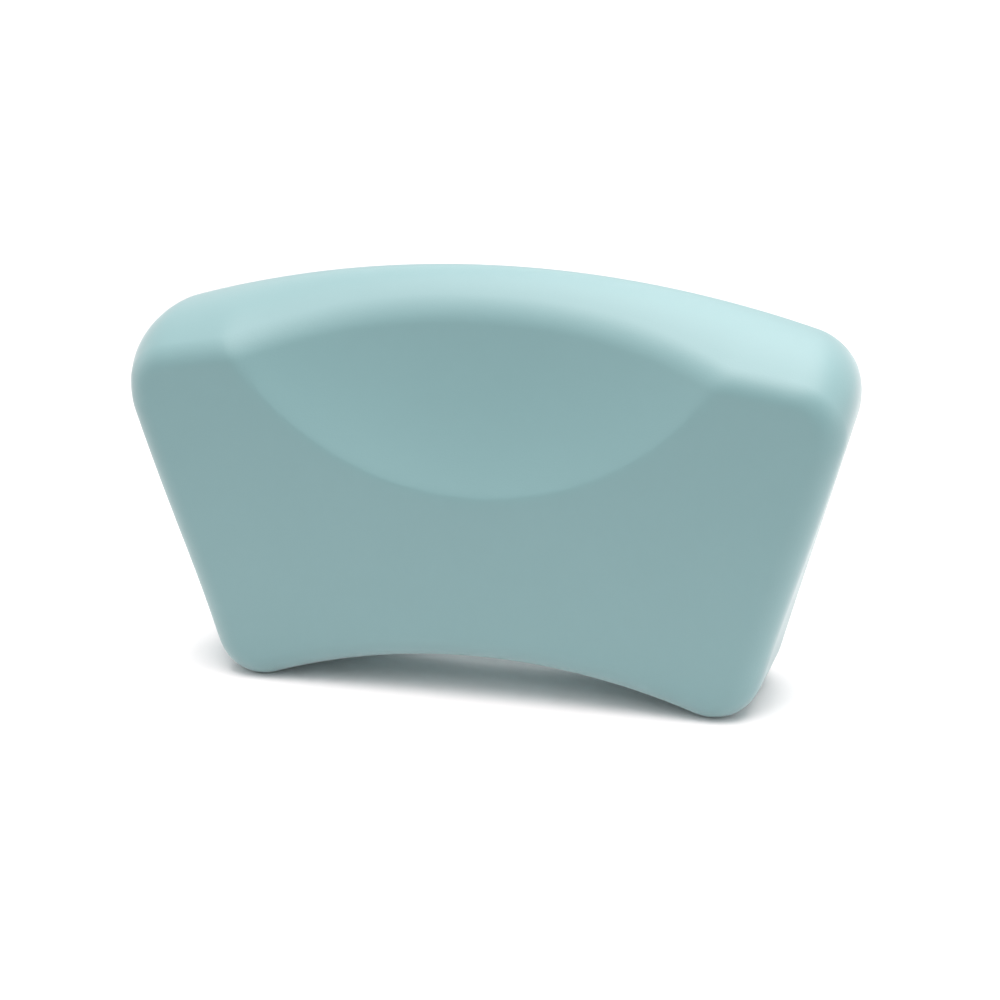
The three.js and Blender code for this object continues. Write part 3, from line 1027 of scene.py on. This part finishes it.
@dataclass
class SuctionCup:
    """A suction cup of soft vinyl, with a mushroom head, a flared dome and a tab to peel it off with."""

    corner: Corner
    finish: Finish = CLEAR_VINYL
    lip_r: float = 0.026
    lip_land: float = 0.0024
    lip_t: float = 0.0012
    height: float = 0.012
    dome_t: float = 0.0025
    dome_flare: float = 1.4  # power of the dome's outer curve
    boss_r: float = 0.009
    boss_t: float = 0.0027
    neck_r: float = 0.0033
    head_r: float = 0.0054
    head_t: float = 0.003
    plate_t: float = 0.001
    clearance: float = 0.0003
    head_round: float = 0.0016
    neck_round: float = 0.0004
    boss_round: float = 0.0008
    lip_round: float = 0.0004
    ridge_h: float = 0.00045
    ridge_w: float = 0.035  # width and places are shares of the way from boss to lip
    ridge_shares: tuple[float, ...] = (0.4, 0.58, 0.76)
    nub_r: float = 0.002
    nub_h: float = 0.0006
    nub_power: int = 4  # how flat its top is
    tab_length: float = 0.007
    tab_width: float = 0.010
    tab_t: float = 0.0014
    tab_edge_r: float = 0.0004
    rib_start: float = 0.00175
    rib_pitch: float = 0.0018
    rib_count: int = 3
    rib_half_width: float = 0.00045
    rib_reach: float = 0.0042
    rib_taper: float = 0.0006
    rib_h: float = 0.0004
    rib_edge_r: float = 0.0002
    rib_edge_steps: int = 2
    curve_steps: int = 40
    round_steps: int = 96
    tab_steps: int = 24
    corner_steps: int = 4
    crease: float = math.radians(40)

    def build(self) -> Piece:
        """Makes the cup where the frame holds it.

        Returns:
            The cup.
        """
        node = self.corner.node("suction_cup")
        low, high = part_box(node)
        edge = low.x if self.corner.side > 0 else high.x
        axis = Axis(edge + self.corner.side * self.lip_r, (low.z + high.z) / 2)
        name = self.corner.node("cup")
        cup = axis.turn(self._profile(high.y), self.round_steps).piece(name, self.crease)
        tab_front = high.y - self.tab_t / 2 - self.tab_t
        carve(cup, [self._tab(axis, tab_front), *self._ribs(axis, tab_front)], Cut.JOIN, self.crease)
        return tie(cup, self.finish, self.corner.cup_body, Slot.CUP, node)

    def _profile(self, lip: float) -> np.ndarray:
        """Draws the cup's half section.

        Args:
            lip: Y of the lip's face.

        Returns:
            Radius and Y of each point, from the head to the middle of the hollow.
        """
        boss_front = lip - self.height + self.clearance
        boss_back = boss_front + self.boss_t
        head_back = lip - self.height - self.plate_t - self.clearance
        head_front = head_back - self.head_t
        stem = soften(
            [
                (0, head_front, 0),
                (self.head_r, head_front, self.head_round),
                (self.head_r, head_back, self.neck_round),
                (self.neck_r, head_back, self.neck_round),
                (self.neck_r, boss_front, self.neck_round),
                (self.boss_r, boss_front, self.boss_round),
                (self.boss_r, boss_back, 0),
            ],
            self.corner_steps,
        )
        shares = np.linspace(0, 1, self.curve_steps + 1)
        ridges = sum(np.exp(-(((shares - at) / self.ridge_w) ** 2)) for at in self.ridge_shares)
        flare_r = self.boss_r + shares * (self.lip_r - self.boss_r)
        rise = lip - self.lip_t - boss_back
        flare_y = boss_back + rise * shares**self.dome_flare - self.ridge_h * ridges
        flare = np.column_stack([flare_r, flare_y])[1:-1]
        land_r = self.lip_r - self.lip_land
        rim = soften(
            [
                (flare[-1][0], flare[-1][1], 0),
                (self.lip_r, lip - self.lip_t, self.lip_round),
                (self.lip_r, lip, self.lip_round),
                (land_r, lip, 0),
            ],
            self.corner_steps,
        )[1:]
        depth = lip - boss_back - self.dome_t
        bowl_r = land_r * (1 - shares[1:])
        nub = self.nub_h * np.exp(-((bowl_r / self.nub_r) ** self.nub_power))
        bowl_y = lip - depth * (1 - (bowl_r / land_r) ** 2) + nub
        return np.vstack([stem, flare, rim, np.column_stack([bowl_r, bowl_y])])

    def _tab(self, axis: Axis, front: float) -> Piece:
        """Makes the peel tab, with a round end.

        Args:
            axis: The cup's axis.
            front: Y of the tab's front face.

        Returns:
            The tab.
        """
        side, half = self.corner.side, self.tab_width / 2
        root = axis.x + side * (self.lip_r - self.lip_land)
        tip = axis.x + side * (self.lip_r + self.tab_length - half)
        sweep = (-QUARTER_TURN, QUARTER_TURN) if side > 0 else (QUARTER_TURN, 3 * QUARTER_TURN)
        end = Axis(tip, axis.z).bend(half, *sweep, self.tab_steps)
        first = half if side > 0 else -half
        loop = np.vstack([end, [[root, axis.z + first], [root, axis.z - first]]])
        plate = rounded_plate([loop], front, front + self.tab_t, self.tab_edge_r, self.corner_steps)
        return plate.piece(self.corner.node("tab"))

    def _ribs(self, axis: Axis, front: float) -> Iterator[Piece]:
        """Makes the finger ribs on the tab.

        Args:
            axis: The cup's axis.
            front: Y of the tab's front face.

        Yields:
            The ribs.
        """
        for k in range(self.rib_count):
            x = axis.x + self.corner.side * (self.lip_r + self.rib_start + k * self.rib_pitch)
            reach = self.rib_reach - k * self.rib_taper
            loop = Axis(x, axis.z).stadium(self.rib_half_width, reach, self.corner_steps)
            ends = front - self.rib_h, front + self.rib_h
            plate = rounded_plate([loop], *ends, self.rib_edge_r, self.rib_edge_steps)
            yield plate.piece(self.corner.node(f"rib_{k}"))


@dataclass
class Fixing:
    """A keyhole plate and its two screws, at one corner of the back."""

    corner: Corner
    plate_finish: Finish = BRUSHED_STEEL
    screw_finish: Finish = BRIGHT_STEEL
    slide: float = 0.012
    plate_r: float = 0.022
    plate_edge_r: float = 0.00025
    slot_r: float = 0.0037
    entry_r: float = 0.0064
    hole_r: float = 0.0018
    screw_r: float = 0.0015
    point: float = 0.002
    screw_head_r: float = 0.0029
    screw_head_t: float = 0.0018
    screw_crown: float = 0.0007
    seat_round: float = 0.000175
    drive_length: float = 0.0034
    drive_width: float = 0.0008
    drive_depth: float = 0.0011
    drive_edge_r: float = 0.0000625
    round_steps: int = 96
    hole_steps: int = 40
    screw_steps: int = 40
    crown_steps: int = 6
    edge_steps: int = 3
    crease: float = math.radians(40)

    def build_plate(self) -> Piece:
        """Makes the plate with its keyhole and two screw holes.

        Returns:
            The plate.
        """
        node = self.corner.node("keyhole_plate")
        low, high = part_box(node)
        axis = axis_of(node)
        loops = [axis.circle(self.plate_r, self.round_steps), self._keyhole(axis)[::-1]]
        for place in ScrewPlace:
            hole = axis_of(self.corner.node(f"{place.value}_screw"))
            loops.append(hole.circle(self.hole_r, self.hole_steps)[::-1])
        draft = rounded_plate(loops, low.y, high.y, self.plate_edge_r, self.edge_steps)
        plate = draft.piece(self.corner.node("plate"), self.crease)
        return tie(plate, self.plate_finish, PILLOW_BODY, Slot.PLATE, node)

    def _keyhole(self, axis: Axis) -> np.ndarray:
        """Draws the keyhole, with its entry hole at the bottom.

        Args:
            axis: The plate's axis.

        Returns:
            One row of X and Z for each point.
        """
        shoulder = math.acos(self.slot_r / self.entry_r)
        sweep = math.pi - shoulder, FULL_TURN + shoulder
        upper = axis.raised(self.slide / 2).bend(self.slot_r, 0, math.pi, self.hole_steps // 2)
        lower = axis.raised(-self.slide / 2).bend(self.entry_r, *sweep, self.hole_steps)
        return np.vstack([upper, lower])

    def build_screw(self, place: ScrewPlace) -> Piece:
        """Makes a pan-head screw with a cross recess.

        Args:
            place: Which of the two screws.

        Returns:
            The screw.
        """
        node = self.corner.node(f"{place.value}_screw")
        low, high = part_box(node)
        axis = axis_of(node)
        seat = high.y - self.screw_head_t
        corners = [
            (0, low.y, 0),
            (self.screw_r, low.y + self.point, 0),
            (self.screw_r, seat, 0),
            (self.screw_head_r, seat, self.seat_round),
            (self.screw_head_r, high.y, self.screw_crown),
            (0, high.y, 0),
        ]
        name = self.corner.node(f"{place.value}_pan_screw")
        profile = soften(corners, self.crown_steps)
        screw = axis.turn(profile, self.screw_steps).piece(name, self.crease)
        bars = []
        for size in ((self.drive_length, self.drive_width), (self.drive_width, self.drive_length)):
            loop = SQUARE / 2 * size + (axis.x, axis.z)
            ends = high.y - self.drive_depth, high.y + self.drive_depth
            bars.append(rounded_plate([loop], *ends, self.drive_edge_r, steps=1).piece(f"{name}_bar"))
        carve(screw, bars, Cut.REMOVE, self.crease)
        return tie(screw, self.screw_finish, PILLOW_BODY, Slot.SCREW, node)


@dataclass
class HiddenPlastics:
    """The stiffener board and the sockets, which keep their CAD shapes inside the foam."""

    nodes: dict[str, Piece]
    board_finish: Finish = GREY_PLASTIC
    socket_finish: Finish = BLACK_PLASTIC

    def dress(self) -> list[Piece]:
        """Gives the CAD pieces their materials.

        Returns:
            The dressed pieces.
        """
        board = self.board_finish.dress("board")
        socket = self.socket_finish.dress("socket")
        dressed = {"stiffener_board": board, **{corner.node("socket"): socket for corner in Corner}}
        for name, material in dressed.items():
            slots = self.nodes[name].data.materials
            slots.clear()
            slots.append(material)
        return [self.nodes[name] for name in dressed]


@dataclass(frozen=True)
class SoftBox:
    """A large area light."""

    name: str
    place: Point
    width: float
    depth: float
    power: float
    aim: Point = (0.0, 0.0, 0.10)
    spread_deg: float = 180.0
    colour: Colour = (1.0, 1.0, 1.0)

    def build(self) -> None:
        """Hangs the light."""
        data = bpy.data.lights.new(self.name, "AREA")
        data.shape = "RECTANGLE"
        data.size, data.size_y = self.width, self.depth
        data.energy = self.power
        data.spread = math.radians(self.spread_deg)
        data.color = self.colour
        light = add_object(self.name, data)
        light.location = self.place
        light.rotation_mode = "QUATERNION"
        light.rotation_quaternion = (Vector(self.aim) - Vector(self.place)).to_track_quat("-Z", "Y")


@dataclass
class Studio:
    """A floor with painted light, paler round the pillow where its shadow falls, an even surround and
    five soft boxes.
    """

    floor_half: float = 3.0
    # painted light: the floor's colour is paler within these reaches of the pillow, to wash out its
    # shadows
    floor_near_painted_light: Colour = (0.86, 0.86, 0.865)
    floor_far: Colour = (0.55, 0.55, 0.555)
    floor_roughness: float = 0.85
    floor_specular: float = 0.1
    painted_light_reach: float = 0.20
    painted_light_end: float = 0.60
    surround: Colour = (1.0, 1.0, 1.0)
    surround_strength: float = 0.45
    boxes: tuple[SoftBox, ...] = (
        SoftBox(
            "key", place=(0.14, 0.12, 1.40), width=1.4, depth=1.6, power=33.5,
            aim=(0.0, 0.0, 0.12), colour=(1.0, 0.91, 0.90),
        ),
        SoftBox("fill", place=(-0.15, -0.80, 1.5), width=1.2, depth=1.2, power=7.0),
        SoftBox("right_rim", place=(1.3, 0.0, 0.50), width=1.0, depth=1.0, power=5.0),
        SoftBox("left_rim", place=(-1.3, -0.1, 0.45), width=0.8, depth=0.8, power=3.0),
        SoftBox(
            "background", place=(-0.3, 2.6, 1.6), width=5.0, depth=1.8, power=150.0,
            aim=(-0.3, 2.6, 0.0), spread_deg=125.0,
        ),
    )

    def build(self) -> Piece:
        """Sets the stage.

        Returns:
            The floor.
        """
        floor = self._lay_floor()
        self._surround_light()
        for box in self.boxes:
            box.build()
        bpy.context.scene.view_settings.view_transform = "Standard"
        return floor

    def _lay_floor(self) -> Piece:
        """Makes the floor, with painted light: it is paler round the pillow, where its shadows fall, and
        darker further out.

        Returns:
            The floor.
        """
        draft = Draft()
        draft.face(*draft.ring(np.insert(SQUARE * self.floor_half, 2, 0, axis=1)))
        floor = draft.piece("floor")
        constants = {"Roughness": self.floor_roughness, "Specular IOR Level": self.floor_specular}
        surface = Surface("floor", constants)
        place = {0: surface.place()}
        away = surface.node("ShaderNodeVectorMath", {"operation": "LENGTH"}, place, "Value")
        span = {"Value": away, "From Min": self.painted_light_reach, "From Max": self.painted_light_end}
        painted_light_fade = surface.node("ShaderNodeMapRange", {"interpolation_type": "SMOOTHSTEP"}, span)
        # painted light: pale near the pillow, fading to the darker floor further out
        surface.shade({"Base Color": surface.mix(painted_light_fade, self.floor_near_painted_light, self.floor_far)})
        floor.data.materials.append(surface.material)
        floor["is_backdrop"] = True
        return floor

    def _surround_light(self) -> None:
        """Lights the scene evenly from all round."""
        world = bpy.data.worlds.new("surround")
        world.use_nodes = True
        background = world.node_tree.nodes["Background"]
        background.inputs["Color"].default_value = (*self.surround, 1.0)
        background.inputs["Strength"].default_value = self.surround_strength
        bpy.context.scene.world = world


@dataclass
class PhotoView:
    """The camera at the photograph's angle."""

    yaw_deg: float = 19.09
    elevation_deg: float = 21.69
    roll_deg: float = -3.05
    distance: float = 1.236
    aim: Point = (0.0, -0.0085, 0.1)
    picture_px: float = 1000.0
    focal_px: float = 2800.0
    centre_px: tuple[float, float] = (485.2, 468.1)
    sensor: float = 36.0

    def build(self) -> None:
        """Sets up the camera."""
        data = bpy.data.cameras.new("photo_view")
        data.sensor_width = self.sensor
        data.lens = self.sensor * self.focal_px / self.picture_px
        data.shift_x = (self.picture_px / 2 - self.centre_px[0]) / self.picture_px
        data.shift_y = (self.centre_px[1] - self.picture_px / 2) / self.picture_px
        camera = add_object("photo_view", data)
        yaw, elevation = math.radians(self.yaw_deg), math.radians(self.elevation_deg)
        away = Vector((
            math.cos(elevation) * math.sin(yaw),
            -math.cos(elevation) * math.cos(yaw),
            math.sin(elevation),
        ))
        camera.location = Vector(self.aim) + self.distance * away
        look = (-away).to_track_quat("-Z", "Y").to_matrix().to_4x4()
        roll = Matrix.Rotation(math.radians(self.roll_deg), 4, "Z")
        camera.rotation_mode = "QUATERNION"
        camera.rotation_quaternion = (look @ roll).to_quaternion()
        bpy.context.scene.camera = camera


def report(piece: Piece) -> None:
    """Logs a piece and how many faces it has."""
    LOG.info("%s: %d faces", piece.name, len(piece.data.polygons))


def main() -> None:
    """Builds the pillow round the frame, piece by piece."""
    logging.basicConfig(level=logging.INFO, format="%(name)s: %(message)s")
    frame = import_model()
    cad_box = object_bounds()
    PhotoView().build()
    report(Studio().build())
    cushion = Cushion(Moulding(back=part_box("back_skin")[1].y))
    for build in (cushion.build_skin, cushion.build_back, cushion.build_core):
        report(build())
    for corner in Corner:
        fixing = Fixing(corner)
        report(SuctionCup(corner).build())
        report(fixing.build_plate())
        for place in ScrewPlace:
            report(fixing.build_screw(place))
    for piece in HiddenPlastics(frame["nodes"]).dress():
        report(piece)
    boxes = {"cad": cad_box, "visual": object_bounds()}
    {name: [list(corner) for corner in box] for name, box in boxes.items()}


if __name__ == "__main__":
    main()
